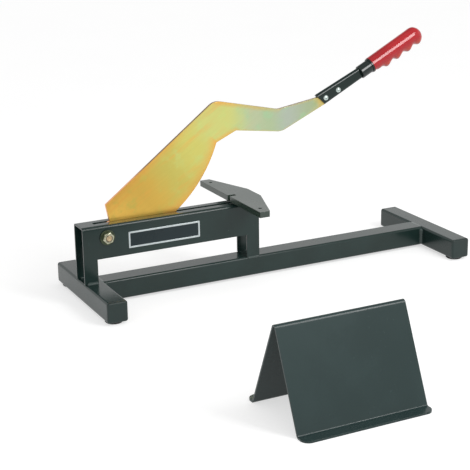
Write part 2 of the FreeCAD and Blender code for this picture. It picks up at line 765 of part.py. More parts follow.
def handle_collar():
    """A black ferrule moulded to the tube's shape, with a lip that the grip butts on."""
    radius = COLLAR_DIAMETER / 2
    lip = radius + COLLAR_LIP
    lip_start = COLLAR_END - COLLAR_LIP_LENGTH
    profile = [
        (COLLAR_START, 0),
        (COLLAR_START, radius - COLLAR_CHAMFER),
        (COLLAR_START + COLLAR_CHAMFER, radius),
        (lip_start, radius),
        (lip_start, lip),
        (COLLAR_END, lip),
        (COLLAR_END, 0),
    ]
    points = [vec(x, 0, r) for x, r in profile]
    points.append(points[0])
    collar = Part.Face(Part.makePolygon(points)).revolve(vec(0, 0, 0), vec(1, 0, 0), 360)
    return on_handle(collar.cut(handle_bar(-GRIP_FIT)))


def grip_depth(along):
    """How far the grip reaches below its axis: a wave with a ridge every pitch."""
    last_ridge = GRIP_RIDGE_FIRST + GRIP_RIDGE_PITCH * (GRIP_RIDGES - 1)
    first_groove = GRIP_RIDGE_FIRST - GRIP_RIDGE_PITCH / 2
    place = max(first_groove, min(along, last_ridge))
    phase = 2 * math.pi * (place - GRIP_RIDGE_FIRST) / GRIP_RIDGE_PITCH
    mean = (GRIP_RIDGE_DEPTH + GRIP_GROOVE_DEPTH) / 2
    wave = (GRIP_RIDGE_DEPTH - GRIP_GROOVE_DEPTH) / 2
    return mean + wave * math.cos(phase)


def grip_loop(along, shrink=1.0):
    """A grip section: half an ellipse above the axis and a deeper half below it.

    shrink draws the section in towards a point below the axis, for the rounded nose.
    """
    x = COLLAR_END + along
    part = min(1.0, along / (GRIP_LENGTH - GRIP_NOSE))
    up = GRIP_START_RADIUS + (GRIP_END_RADIUS - GRIP_START_RADIUS) * part
    side = (GRIP_START_RADIUS + (GRIP_HALF_WIDTH - GRIP_START_RADIUS) * part) * shrink
    top = (up + GRIP_NOSE_DROP) * shrink - GRIP_NOSE_DROP
    bottom = -(grip_depth(along) - GRIP_NOSE_DROP) * shrink - GRIP_NOSE_DROP
    centre = GRIP_NOSE_DROP * (shrink - 1)

    def half_loop(end):
        """Half an ellipse from one side over z = end to the other."""
        arc = Part.Arc(vec(0, -1, 0), vec(0, 0, 1), vec(0, 1, 0)).toShape()
        matrix = FreeCAD.Matrix()
        matrix.A22 = side
        matrix.A33 = end - centre
        matrix.A14 = x
        matrix.A34 = centre
        return arc.transformGeometry(matrix)

    return Part.Wire([half_loop(top), half_loop(bottom)])


def grip():
    """A moulded grip with finger grooves below, closed over the tube's end."""
    step = GRIP_RIDGE_PITCH / 4
    nose_start = GRIP_LENGTH - GRIP_NOSE
    first_groove = GRIP_RIDGE_FIRST - GRIP_RIDGE_PITCH / 2
    plain_steps = max(1, int(first_groove / step))
    loops = [grip_loop(first_groove * k / plain_steps) for k in range(plain_steps)]
    along = first_groove
    while along < nose_start - step / 2:
        loops.append(grip_loop(along))
        along += step
    for k in range(GRIP_NOSE_SECTIONS):
        angle = math.radians(90 * k / GRIP_NOSE_SECTIONS)
        loops.append(grip_loop(nose_start + GRIP_NOSE * math.sin(angle), math.cos(angle)))
    body = Part.makeLoft(loops, True)
    radius = ROUND_DIAMETER / 2 + GRIP_FIT
    depth = TUBE_LENGTH - COLLAR_END + GRIP_FIT
    bore = Part.makeCylinder(radius, depth, vec(COLLAR_END, 0, 0), vec(1, 0, 0))
    return on_handle(body.cut(bore))


def ridge_rise(foot, top, radius):
    """How high a ridge's sharp corner lies over its feet when its round ends at top.

    Each side is the tangent from its foot to the round.
    """
    middle = top - radius
    tangent = math.sqrt(foot**2 + middle**2 - radius**2)
    return foot * (middle * foot + radius * tangent) / (foot**2 - radius**2)


def stand():
    """A sheet folded into a roof with two flanges on the floor, as high as the beam."""
    t = STAND_SHEET
    foot = STAND_SPREAD / 2
    edge = foot + STAND_FLANGE
    rise = ridge_rise(foot, BEAM_TOP - t, STAND_BEND + t)
    line = [(-edge, t), (-foot, t), (0.0, t + rise), (foot, t), (edge, t)]
    corners = folded_sheet(line, t, STAND_BEND)
    loop = rounded_loop(corners, lambda u, v: vec(STAND_X, u - STAND_DISTANCE, v))
    sheet = Part.Face(loop).extrude(vec(STAND_WIDTH, 0, 0))
    rims = []
    for e in sheet.Edges:
        box = e.BoundBox
        upright = box.ZLength > t / 2 and box.XLength < 1e-6 and box.YLength < 1e-6
        if upright and abs(abs(box.YMin + STAND_DISTANCE) - edge) < 1e-6:
            rims.append(e)
    return sheet.makeFillet(STAND_CORNER, rims)


def fillet_bead(start, end, up, out):
    """A fillet weld with a bulging face, from start to end along the root of a corner.

    up and out point along the two faces that it joins.
    """
    b = start + up * WELD_LEG
    c = start + out * WELD_LEG
    bulge = start + (up + out) * (WELD_LEG * WELD_BULGE)
    edges = [Part.makeLine(start, b), Part.Arc(b, bulge, c).toShape(), Part.makeLine(c, start)]
    return Part.Face(Part.Wire(edges)).extrude(end - start)


def groove_bead(x0, x1, side):
    """A weld that fills the groove between the leg's edge and the base tube's rounded corner."""
    flush = BASE_TUBE_WIDTH / 2
    r = TUBE_CORNER

    def point(y, z):
        return vec(x0, y * side, z)

    inner = point(flush - r, TUBE_TOP)
    upper = point(flush, TUBE_TOP)
    lower = point(flush, TUBE_TOP - r)
    crown = point(flush + WELD_CROWN, TUBE_TOP - r / 2)
    on_tube = point(flush - r + r * DIAGONAL, TUBE_TOP - r + r * DIAGONAL)
    edges = [
        Part.makeLine(inner, upper),
        Part.Arc(upper, crown, lower).toShape(),
        Part.Arc(lower, on_tube, inner).toShape(),
    ]
    return Part.Face(Part.Wire(edges)).extrude(vec(x1 - x0, 0, 0))


def weld_beads():
    """Welds at the post, the leg and the ends of the base tube."""
    up = vec(0, 0, 1)
    beads = []
    for side in (-1, 1):
        out = vec(0, side, 0)
        post = vec(TUBE_CORNER, side * BEAM_SIDE, TUBE_TOP)
        post_end = vec(POST_WIDTH - WELD_END_GAP, side * BEAM_SIDE, TUBE_TOP)
        beads.append(fillet_bead(post, post_end, up, out))
        leg_start = BEAM_LENGTH - LEG_WIDTH + WELD_END_GAP
        beads.append(groove_bead(leg_start, BEAM_LENGTH - WELD_END_GAP, side))
        y = side * BASE_TUBE_WIDTH / 2
        z0 = TUBE_BOTTOM + TUBE_CORNER + WELD_END_GAP
        z1 = TUBE_TOP - TUBE_CORNER - WELD_END_GAP
        for x, along in ((FOOT_WIDTH, vec(1, 0, 0)), (RIGHT_FOOT_X, vec(-1, 0, 0))):
            beads.append(fillet_bead(vec(x, y, z0), vec(x, y, z1), along, out))
    return Part.Compound(beads)


def all_nodes():
    """Every piece by its node's name."""
    nodes = {
        "left_foot_tube": foot_tube(0.0),
        "right_foot_tube": foot_tube(RIGHT_FOOT_X),
        "base_tube": base_tube(),
        "beam_channel": beam_channel(),
        "weld_beads": weld_beads(),
        "fence_plate": fence_plate(),
        "fence_packer": fence_packer(),
        "fence_screws": Part.Compound([fence_screw(y) for y in screw_places()]),
        "pivot_bolt": pivot_bolt(),
        "pivot_nut": pivot_nut(),
        "blade_plate": blade_plate(),
        "pivot_bush": pivot_bush(),
        "handle_tube": handle_tube(),
        "handle_collar": handle_collar(),
        "grip": grip(),
        "inner_rivet": handle_rivet(rivet_places()[0]),
        "outer_rivet": handle_rivet(rivet_places()[1]),
        "board_stand": stand(),
    }
    for name, x0 in (("left", 0.0), ("right", RIGHT_FOOT_X)):
        for end, y in zip(("front", "back"), pad_places()):
            nodes[name + "_" + end + "_cap"] = end_cap(x0, y)
            nodes[name + "_" + end + "_pad"] = rubber_pad(x0, y)
    for name, side in (("front", -1), ("back", 1)):
        nodes[name + "_washer"] = pivot_washer(side)
        nodes[name + "_friction_disc"] = friction_disc(side)
        nodes[name + "_spacer"] = pivot_spacer(side)
        nodes[name + "_guide_rail"] = guide_rail(side)
    return nodes


def origin():
    """The bottom centre of the whole object, in the bench frame."""
    stand_front = STAND_DISTANCE + STAND_SPREAD / 2 + STAND_FLANGE
    return vec(BASE_LENGTH / 2, (FOOT_REACH - stand_front) / 2, 0)


def main():
    os.makedirs("parts", exist_ok=True)
    shift = origin() * -1
    for name, shape in all_nodes().items():
        shape.translate(shift)
        shape.exportStep("parts/" + name + ".step")


main()
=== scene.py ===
import json
import math

import bmesh
import bpy
import numpy as np
from mathutils import Matrix, Vector


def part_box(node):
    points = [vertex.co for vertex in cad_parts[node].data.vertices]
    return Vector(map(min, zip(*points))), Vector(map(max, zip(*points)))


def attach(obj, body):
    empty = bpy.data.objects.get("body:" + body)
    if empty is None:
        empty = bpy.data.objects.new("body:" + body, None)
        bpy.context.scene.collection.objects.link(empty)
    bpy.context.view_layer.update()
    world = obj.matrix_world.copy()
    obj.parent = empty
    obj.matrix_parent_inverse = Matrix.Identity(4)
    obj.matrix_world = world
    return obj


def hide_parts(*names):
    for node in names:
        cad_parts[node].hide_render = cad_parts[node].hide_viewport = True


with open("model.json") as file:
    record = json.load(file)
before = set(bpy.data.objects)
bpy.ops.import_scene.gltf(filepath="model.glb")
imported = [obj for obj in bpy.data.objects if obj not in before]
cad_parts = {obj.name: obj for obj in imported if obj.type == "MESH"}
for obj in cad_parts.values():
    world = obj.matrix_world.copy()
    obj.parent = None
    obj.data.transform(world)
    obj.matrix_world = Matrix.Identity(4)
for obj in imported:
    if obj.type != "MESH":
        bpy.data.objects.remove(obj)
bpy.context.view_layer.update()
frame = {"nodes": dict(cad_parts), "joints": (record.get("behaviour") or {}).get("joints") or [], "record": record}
blade_hinge = next(joint for joint in frame["joints"] if joint["name"] == "blade_swing")

# The pivot's place in the frame, in metres
PIVOT = np.array(blade_hinge["pos_m"])

# Places on the blade and arm, along and above the pivot, in metres
BLADE_CORNER = (0.0065, 0.0495)
CROWN = (0.2089, 0.2023)
ARM_DIP = (0.3304, 0.1749)
ARM_KNEE = (0.3363, 0.1349)
MOUTH_UPPER = (0.4089, 0.1871)
MOUTH_LOWER = (0.4229, 0.1740)
SHOULDER = (0.2484, 0.1470)
THROAT = (0.2109, 0.1304)
HEEL = (0.0466, -0.0202)
EDGE_RADIUS = 0.233
HALF_BLADE = 0.0025
HANDLE_START = (0.4155, 0.1809)

# Slopes as pictured, in radians
BLADE_SLOPE = math.radians(30.0)
GRINDING_SLOPE = math.radians(35.0)
HANDLE_SLOPE = math.radians(27.2)

# The photograph's camera, solved from the object's straight edges: degrees, pixels and metres
CAMERA_AZIMUTH = -26.39
CAMERA_HEIGHT = 17.47
CAMERA_ROLL = -0.961
CAMERA_PLACE = (-1.023187, -1.681478, 0.756162)
FOCAL_PIXELS = 1297.42
PICTURE_PIXELS = 470.0
SENSOR_WIDTH = 36.0

# The bare label on the beam, in millimetres
LABEL_WIDTH = 130.0
LABEL_HEIGHT = 28.2
LABEL_CORNER = 1.2
LABEL_INSET = 80.2
LABEL_DROP = 31.3
LABEL_THICKNESS = 0.45
LABEL_BORDER = 2.6

# The pivot bolt's thread and tip, in millimetres
THREAD_RADIUS = 4.96
THREAD_PITCH = 1.5
THREAD_DEPTH = 0.55
THREAD_LENGTH = 12.5
THREAD_STEP = 0.12
TIP_CHAMFER = 0.8
HEAD_CHAMFER = 0.84
HEAD_SLOPE = 0.6

# The weld beads, in millimetres
POST_WELD_INSETS = (4.0, 23.0)
LEG_WELD_INSETS = (23.0, 1.0)
POST_WELD_RADIUS = 3.8
LEG_WELD_RADIUS = 2.6
END_WELD_RADIUS = 4.2
END_WELD_LOW = 6.5
END_WELD_HIGH = 36.0
WELD_OFFSET = 0.4
LEG_WELD_SUNK = 0.9
SCALE_PITCH = 1.35


class Wire:
    """An output socket of a shader node. Sums on it and on plain numbers add Math nodes."""

    def __init__(self, finish, socket):
        self.finish = finish
        self.socket = socket

    def maths(self, operation, *terms):
        """A Math node over the terms, which are wires or numbers."""
        return self.finish.add("ShaderNodeMath", {"operation": operation}, dict(enumerate(terms)))

    def __add__(self, other):
        return self.maths("ADD", self, other)

    def __radd__(self, other):
        return self.maths("ADD", other, self)

    def __sub__(self, other):
        return self.maths("SUBTRACT", self, other)

    def __rsub__(self, other):
        return self.maths("SUBTRACT", other, self)

    def __mul__(self, other):
        return self.maths("MULTIPLY", self, other)

    def __rmul__(self, other):
        return self.maths("MULTIPLY", other, self)

    def least(self, other):
        """The smaller of two."""
        return self.maths("MINIMUM", self, other)

    def most(self, other):
        """The larger of two."""
        return self.maths("MAXIMUM", self, other)

    def size(self):
        """The value without its sign."""
        return self.maths("ABSOLUTE", self)

    def root(self):
        """The square root."""
        return self.maths("SQRT", self)

    def sine(self):
        """The sine."""
        return self.maths("SINE", self)

    def fade(self, low, high):
        """0 at low, 1 at high, and a smooth step between them."""
        return self.finish.add(
            "ShaderNodeMapRange",
            {"interpolation_type": "SMOOTHSTEP"},
            {"Value": self, "From Min": low, "From Max": high},
        )


def rgba(colour):
    """A colour with full alpha."""
    return (*colour, 1.0)


def tinted(colour, share):
    """A colour, lighter or darker by a share."""
    return tuple(share * part for part in colour)


def screen(red, green, blue):
    """The linear colour of one that is written in steps of 0 to 255, as on a screen."""
    parts = (np.array([red, green, blue]) / 255.0 + 0.055) / 1.055
    return tuple(float(part) for part in parts**2.4)


class Finish:
    """The nodes of one material or of the world. add() makes every node."""

    def __init__(self, tree):
        self.tree = tree
        tree.nodes.clear()

    def add(self, kind, settings=None, sockets=None, output=0):
        """A node of a kind: its settings first, then its sockets, by wires or by values."""
        node = self.tree.nodes.new(kind)
        for key, value in (settings or {}).items():
            if key == "stops":
                self.put_stops(node.color_ramp, value)
            else:
                setattr(node, key, value)
        for key, value in (sockets or {}).items():
            if isinstance(value, Wire):
                self.tree.links.new(value.socket, node.inputs[key])
            else:
                node.inputs[key].default_value = value
        return Wire(self, node.outputs[output]) if len(node.outputs) else None

    def put_stops(self, ramp, stops):
        """Sets a colour ramp's places and colours."""
        ramp.interpolation = "EASE"
        while len(ramp.elements) < len(stops):
            ramp.elements.new(0.5)
        for element, (place, colour) in zip(ramp.elements, stops):
            element.position = place
            element.color = rgba(colour)

    def place(self, centre=(0, 0, 0), turn=(0, 0, 0), scale=(1, 1, 1)):
        """Object coordinates, moved so that centre is 0, then turned, then stretched."""
        here = self.add("ShaderNodeTexCoord", output="Object")
        back = tuple(-part for part in centre)
        moved = self.add("ShaderNodeMapping", {"vector_type": "POINT"}, {0: here, 1: back})
        turned = self.add("ShaderNodeMapping", {"vector_type": "POINT"}, {0: moved, 2: turn})
        return self.add("ShaderNodeMapping", {"vector_type": "POINT"}, {0: turned, 3: scale})

    def noise(self, where, scale, detail=2.0, roughness=0.5):
        """Clouds from 0 to 1, with so many to the metre as scale says."""
        return self.add(
            "ShaderNodeTexNoise",
            {"noise_dimensions": "3D"},
            {"Vector": where, "Scale": scale, "Detail": detail, "Roughness": roughness},
        )

    def mix(self, factor, first, second, blend="MIX"):
        """The first colour at a factor of 0 and the second, or the blend with it, at 1."""
        sockets = {0: factor}
        for key, colour in ((6, first), (7, second)):
            sockets[key] = colour if isinstance(colour, Wire) else rgba(colour)
        settings = {"data_type": "RGBA", "blend_type": blend}
        return self.add("ShaderNodeMix", settings, sockets, output=2)

    def ramp(self, factor, stops):
        """A colour by the factor's place among the stops."""
        return self.add("ShaderNodeValToRGB", {"stops": stops}, {0: factor})

    def bump(self, height, strength, distance, normal):
        """The normal, tilted by the slope of a height."""
        return self.add(
            "ShaderNodeBump",
            None,
            {"Height": height, "Strength": strength, "Distance": distance, "Normal": normal},
        )

    def parts(self, vector):
        """The x, y and z of a vector as three wires."""
        split = self.add("ShaderNodeSeparateXYZ", None, {0: vector})
        return [Wire(self, output) for output in split.socket.node.outputs]

    def soft_edges(self, radius):
        """The surface's normal with its sharp edges rounded by a small radius."""
        return self.add("ShaderNodeBevel", {"samples": 6}, {"Radius": radius})

    def surface(self, sockets):
        """The shader and the material's output."""
        shader = self.add("ShaderNodeBsdfPrincipled", None, sockets)
        self.add("ShaderNodeOutputMaterial", None, {0: shader})


def new_finish(name):
    """An empty material and its nodes."""
    material = bpy.data.materials.new(name)
    material.use_nodes = True
    return material, Finish(material.node_tree)


def powder_paint(name, deep, pale, roughness, edge_radius=0.0008, specular=0.35):
    """Satin powder paint: a cloudy tone, an orange-peel skin and a trace of rubbing."""
    material, f = new_finish(name)
    p = f.place()
    cloud = f.noise(p, 11.0, detail=3.0).fade(0.3, 0.7)
    peel = f.noise(p, 520.0, roughness=0.4)
    grain = f.noise(p, 2300.0, detail=1.0)
    rub = f.noise(f.place(scale=(30.0, 4.0, 30.0)), 6.0, detail=5.0, roughness=0.7).fade(0.62, 0.8)
    tone = f.mix(cloud, deep, pale)
    tone = f.mix(0.3 * rub, tone, tinted(pale, 3.0))
    gloss = roughness + 0.06 * (cloud - 0.5) + 0.10 * rub + 0.05 * (grain - 0.5)
    skin = f.bump(0.8 * peel + 0.2 * grain, 0.07, 0.0002, f.soft_edges(edge_radius))
    f.surface(
        {"Base Color": tone, "Roughness": gloss, "Normal": skin, "Specular IOR Level": specular}
    )
    return material


def moulded_plastic(name, colour, roughness, grain_scale, grain_depth):
    """Moulded plastic with a spark-eroded grain and faint flow marks."""
    material, f = new_finish(name)
    flow = f.noise(f.place(scale=(1.0, 6.0, 1.0)), 18.0, detail=3.0).fade(0.3, 0.7)
    grain = f.noise(f.place(), grain_scale)
    tone = f.mix(flow, tinted(colour, 0.8), tinted(colour, 1.25))
    gloss = roughness + 0.08 * (flow - 0.5) + 0.10 * (grain - 0.5)
    skin = f.bump(grain, 0.3, grain_depth, f.soft_edges(0.0006))
    f.surface({"Base Color": tone, "Roughness": gloss, "Normal": skin})
    return material


def gloss_enamel(name, colour, roughness, edge_radius, specular):
    """Smooth gloss enamel with a slight waviness and a few fine marks along the handle."""
    material, f = new_finish(name)
    wave = f.noise(f.place(), 40.0)
    along_handle = f.place(turn=(0.0, HANDLE_SLOPE, 0.0), scale=(12.0, 160.0, 160.0))
    marks = f.noise(along_handle, 4.0, detail=4.0).fade(0.60, 0.75)
    tone = f.mix(0.5 * marks, colour, tinted(colour, 2.0))
    gloss = roughness + 0.08 * marks + 0.04 * (wave - 0.5)
    skin = f.bump(wave, 0.04, 0.0004, f.soft_edges(edge_radius))
    f.surface(
        {"Base Color": tone, "Roughness": gloss, "Normal": skin, "Specular IOR Level": specular}
    )
    return material


def plated_metal(name, low, high, roughness):
    """Plated or bare metal with cloudy tones and fine grain."""
    material, f = new_finish(name)
    p = f.place()
    cloud = f.noise(p, 130.0, detail=3.0).fade(0.3, 0.7)
    grain = f.noise(p, 3000.0)
    tone = f.mix(cloud, low, high)
    gloss = roughness + 0.12 * (cloud - 0.5) + 0.10 * (grain - 0.5)
    skin = f.bump(grain, 0.12, 0.0001, f.soft_edges(0.0004))
    f.surface({"Base Color": tone, "Metallic": 1.0, "Roughness": gloss, "Normal": skin})
    return material


def off_pivot(f):
    """The distance from the pivot's axis, in metres."""
    x, _, z = f.parts(f.place(centre=tuple(PIVOT)))
    return (x * x + z * z).root()


def turned_metal(name, low, high, roughness):
    """Metal faced on a lathe: rings round the pivot's axis, about 0.7 mm apart."""
    material, f = new_finish(name)
    rings = (off_pivot(f) * 9000.0).sine()
    grain = f.noise(f.place(), 900.0, detail=3.0)
    tone = f.mix(grain.fade(0.3, 0.7), low, high)
    gloss = roughness + 0.08 * (grain - 0.5)
    skin = f.bump(0.5 * rings + grain, 0.10, 0.0001, f.soft_edges(0.0003))
    f.surface({"Base Color": tone, "Metallic": 1.0, "Roughness": gloss, "Normal": skin})
    return material


def plated_nut_with_painted_shadow():
    """Pale olive plating, with a dull brown ring round the bolt's end that is painted shadow in the gap between
    the nut and the bolt's end.
    """
    material, f = new_finish("lock_nut_plating")
    # Inside this radius the dull brown, rough ring is painted shadow where the nut meets the bolt's end.
    painted_shadow_end, plating_start = 0.0058, 0.0061
    metal = off_pivot(f).fade(painted_shadow_end, plating_start)
    cloud = f.noise(f.place(), 260.0, detail=3.0).fade(0.3, 0.7)
    grain = f.noise(f.place(), 3000.0)
    plating = f.mix(cloud, screen(178, 177, 153), screen(200, 199, 175))
    tone = f.mix(metal, screen(70, 58, 42), plating)
    gloss = 0.50 - 0.22 * metal + 0.10 * (grain - 0.5) + 0.08 * (cloud - 0.5)
    skin = f.bump(grain, 0.12, 0.0001, f.soft_edges(0.0004))
    f.surface({"Base Color": tone, "Metallic": metal, "Roughness": gloss, "Normal": skin})
    return material


def segment_distance(x, z, start, end):
    """The distance from (x, z) to the stretch from start to end, all along and above the pivot."""
    run = (end[0] - start[0], end[1] - start[1])
    length = math.hypot(*run)
    way = (run[0] / length, run[1] / length)
    along = (x - start[0]) * way[0] + (z - start[1]) * way[1]
    along = along.most(0.0).least(length)
    dx = x - start[0] - along * way[0]
    dz = z - start[1] - along * way[1]
    return (dx * dx + dz * dz).root()


def arc_distance(x, z):
    """The distance to the cutting edge's arc. It grows steeply past the arc's upper end."""
    du, dv = THROAT[0] - HEEL[0], THROAT[1] - HEEL[1]
    chord = math.hypot(du, dv)
    rise = math.sqrt(EDGE_RADIUS**2 - chord**2 / 4)
    cx = (HEEL[0] + THROAT[0]) / 2 - dv / chord * rise
    cz = (HEEL[1] + THROAT[1]) / 2 + du / chord * rise
    dx, dz = x - cx, z - cz
    past = ((x - THROAT[0]) * (du / chord) + (z - THROAT[1]) * (dv / chord)).most(0.0)
    return ((dx * dx + dz * dz).root() - EDGE_RADIUS).size() + 6.0 * past


def zinc_field(f, x, along, on_arm, cloud, mottle):
    """The plating's tone away from the rims, by the way along the blade and along the arm."""
    wander = 0.05 * (cloud - 0.5) + 0.02 * (mottle - 0.5)
    blade_length, arm_end = 0.26, 0.42
    blade_tone = f.ramp(
        (along + wander) * (1 / blade_length),
        [
            (0.14, screen(240, 194, 92)),
            (0.40, screen(210, 172, 80)),
            (0.60, screen(196, 182, 92)),
            (0.78, screen(202, 196, 106)),
            (0.98, screen(200, 200, 120)),
        ],
    )
    arm_tone = f.ramp(
        (x + 0.5 * wander) * (1 / arm_end),
        [
            (0.60, screen(184, 197, 140)),
            (0.68, screen(178, 188, 152)),
            (0.74, screen(170, 186, 148)),
            (0.83, screen(170, 180, 164)),
            (0.94, screen(164, 177, 142)),
            (0.972, screen(164, 178, 132)),
            (0.995, screen(196, 172, 100)),
        ],
    )
    grinding = f.place(turn=(0.0, GRINDING_SLOPE, 0.0), scale=(1.6, 1.0, 16.0))
    bands = f.noise(grinding, 6.0, detail=3.0).fade(0.52, 0.70)
    warm = f.mix(on_arm, screen(232, 160, 76), screen(192, 182, 146))
    cool = f.mix(along.fade(0.10, 0.20), screen(196, 184, 88), screen(192, 205, 124))
    cool = f.mix(on_arm, cool, screen(158, 196, 152))
    field = f.mix(on_arm, blade_tone, arm_tone)
    field = f.mix(0.30 * bands, field, warm)
    return f.mix(0.52 * mottle.fade(0.50, 0.72), field, cool)


def zinc_rims(f, field, x, z, along, on_arm, ragged):
    """The field with orange rims. Each row is a distance, the rim's share and its reach in mm."""
    gold = f.mix(on_arm, screen(226, 166, 80), screen(202, 174, 96))
    far_edge = segment_distance(x, z, ARM_DIP, MOUTH_UPPER)
    far_edge = far_edge.least(segment_distance(x, z, SHOULDER, ARM_KNEE))
    far_edge = far_edge.least(segment_distance(x, z, ARM_KNEE, MOUTH_LOWER))
    cutting_edge = arc_distance(x, z)
    spine = segment_distance(x, z, BLADE_CORNER, CROWN)
    low_down = 1.0 - 0.75 * along.fade(0.14, 0.25)
    near_crown = 1.0 - 0.6 * x.fade(0.29, 0.34)
    rims = [
        (cutting_edge, 0.55, 22.0),
        (cutting_edge, 0.45, 4.5),
        (spine, 0.50 * low_down, 15.0),
        (spine, 0.50 * low_down, 4.0),
        (segment_distance(x, z, CROWN, ARM_DIP), 0.65 * near_crown, 9.0),
        (segment_distance(x, z, THROAT, SHOULDER), 0.60, 9.0),
        (far_edge, 0.35, 3.5),
        (segment_distance(x, z, MOUTH_UPPER, MOUTH_LOWER), 0.75, 13.0),
    ]
    for distance, share, reach in rims:
        near = 1.0 - (1000.0 * distance + ragged).fade(0.1 * reach, reach)
        field = f.mix(share * near, field, gold)
    return field


def zinc_blade():
    """Yellow passivated zinc: gold low on the blade, yellow at the crown and green on the arm.

    The rims are orange and the cut edges between the two faces are brown. Slow clouds, mottles
    and fine grinding marks vary all of them.
    """
    material, f = new_finish("blade_zinc_passivated")
    x, y, z = f.parts(f.place(centre=tuple(PIVOT)))
    along = x * math.cos(BLADE_SLOPE) + z * math.sin(BLADE_SLOPE)
    turn = (0.0, BLADE_SLOPE, 0.0)
    cloud = f.noise(f.place(), 15.0, detail=3.0, roughness=0.55)
    mottle = f.noise(f.place(centre=(0.3, 0.1, 0.2)), 48.0, detail=3.0, roughness=0.6)
    streak = f.noise(f.place(turn=turn, scale=(5.0, 40.0, 90.0)), 4.0, detail=5.0, roughness=0.65)
    fine = f.noise(f.place(turn=turn, scale=(20.0, 900.0, 900.0)), 1.5, detail=3.0)
    on_arm = (x + 0.015 * (cloud - 0.5) + 0.006 * (mottle - 0.5)).fade(0.230, 0.272)
    ragged = 4.0 * (mottle - 0.5) + 3.0 * (streak - 0.5)

    tone = zinc_field(f, x, along, on_arm, cloud, mottle)
    tone = zinc_rims(f, tone, x, z, along, on_arm, ragged)
    shade = 0.93 + 0.14 * streak
    grey = f.add("ShaderNodeCombineXYZ", None, {0: shade, 1: shade, 2: shade})
    tone = f.mix(1.0, tone, grey, "MULTIPLY")
    brown = f.mix(cloud.fade(0.4, 0.6), screen(108, 84, 64), screen(138, 108, 82))
    brown = f.mix(along.fade(0.08, 0.13), screen(240, 176, 126), brown)
    between_faces = 1.0 - y.size().fade(HALF_BLADE - 0.0005, HALF_BLADE - 0.0001)
    tone = f.mix(between_faces, tone, brown)

    gloss = 0.33 + 0.14 * (streak - 0.5) + 0.10 * (fine - 0.5)
    skin = f.bump(fine, 0.10, 0.00008, f.soft_edges(0.0005))
    f.surface({"Base Color": tone, "Metallic": 0.85, "Roughness": gloss, "Normal": skin})
    return material


def red_grip():
    """Gloss red moulded vinyl with slow waves and fine pores, and a painted orange reflection on the lower ridges.
    """
    material, f = new_finish("grip_red_vinyl")
    p = f.place()
    cloud = f.noise(p, 35.0, detail=3.0).fade(0.3, 0.7)
    pores = f.noise(p, 1500.0)
    wave = f.noise(p, 90.0)
    x, _, z = f.parts(f.place(centre=tuple(PIVOT)))
    rise = (z - HANDLE_START[1]) * math.cos(HANDLE_SLOPE)
    over_axis = rise - (x - HANDLE_START[0]) * math.sin(HANDLE_SLOPE)
    on_ridges = 1.0 - over_axis.fade(-0.012, -0.004)
    # Orange patches on the lower ridges below the handle's axis: a painted reflection of light on the ridges'
    # faces.
    ridge_painted_reflection = f.noise(f.place(centre=(0.2, 0.1, 0.4)), 60.0).fade(0.30, 0.52) * on_ridges
    tone = f.mix(cloud, (0.36, 0.004, 0.009), (0.43, 0.009, 0.014))
    tone = f.mix(0.9 * ridge_painted_reflection, tone, (0.54, 0.030, 0.005))
    gloss = 0.12 + 0.03 * (cloud - 0.5) + 0.03 * (pores - 0.5)
    skin = f.bump(0.9 * wave + 0.1 * pores, 0.015, 0.0002, f.soft_edges(0.0006))
    f.surface({"Base Color": tone, "Roughness": gloss, "Normal": skin, "Specular IOR Level": 0.5})
    return material


def paints():
    """The powder paints and enamels, by their slots in the record."""
    return {
        "frame_paint": powder_paint(
            "frame_powder_paint",
            (0.009, 0.023, 0.020),
            (0.013, 0.031, 0.028),
            roughness=0.22,
            specular=0.38,
        ),
        "stand_paint": powder_paint(
            "stand_powder_paint", (0.012, 0.030, 0.029), (0.016, 0.037, 0.036), roughness=0.27
        ),
        "fence_paint": powder_paint(
            "fence_powder_paint",
            (0.022, 0.040, 0.030),
            (0.030, 0.050, 0.038),
            roughness=0.28,
            specular=0.6,
        ),
        "tube_gloss": gloss_enamel(
            "tube_gloss_enamel",
            (0.003, 0.014, 0.011),
            roughness=0.13,
            edge_radius=0.0006,
            specular=0.34,
        ),
        "collar_gloss": gloss_enamel(
            "collar_gloss_moulding",
            (0.002, 0.010, 0.008),
            roughness=0.08,
            edge_radius=0.0003,
            specular=0.48,
        ),
    }


def plastics():
    """The moulded pieces' finishes, by their slots in the record."""
    return {
        "guide_plastic": moulded_plastic(
            "guide_nylon",
            (0.62, 0.60, 0.54),
            roughness=0.45,
            grain_scale=1200.0,
            grain_depth=0.0002,
        ),
        "cap_plastic": moulded_plastic(
            "cap_moulding",
            (0.006, 0.018, 0.016),
            roughness=0.46,
            grain_scale=1400.0,
            grain_depth=0.0002,
        ),
        "pad_rubber": moulded_plastic(
            "pad_rubber_black",
            (0.016, 0.016, 0.016),
            roughness=0.75,
            grain_scale=900.0,
            grain_depth=0.0004,
        ),
        "grip_red": red_grip(),
    }


def metals():
    """The bare and plated metals, by their slots in the record."""
    return {
        "dark_steel": plated_metal(
            "black_oxide_screws", (0.05, 0.05, 0.05), (0.09, 0.09, 0.09), roughness=0.40
        ),
        "yellow_zinc_hardware": plated_nut_with_painted_shadow(),
        "dark_washer": plated_metal(
            "dark_washer_steel", (0.048, 0.062, 0.040), (0.086, 0.104, 0.068), roughness=0.34
        ),
        "plain_steel": turned_metal(
            "turned_steel", (0.50, 0.50, 0.50), (0.60, 0.60, 0.59), roughness=0.30
        ),
        "blade_zinc": zinc_blade(),
        "bush_bronze": turned_metal(
            "bush_turned_bronze", (0.55, 0.34, 0.16), (0.66, 0.42, 0.21), roughness=0.30
        ),
        "rivet_metal": plated_metal(
            "rivet_bright_alloy", (0.42, 0.50, 0.47), (0.54, 0.62, 0.59), roughness=0.26
        ),
    }


def dress_solids():
    """Gives every solid of the frame the material of its slot in the record."""
    finishes = {**paints(), **plastics(), **metals()}
    for part in frame["record"]["subparts"]:
        materials = frame["nodes"][part["node"]].data.materials
        materials.clear()
        materials.append(finishes[part["material_slot"]])


def box_in_mm(node):
    """The lowest and highest corner of a solid of the frame, in millimetres."""
    return [1000.0 * np.array(corner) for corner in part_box(node)]


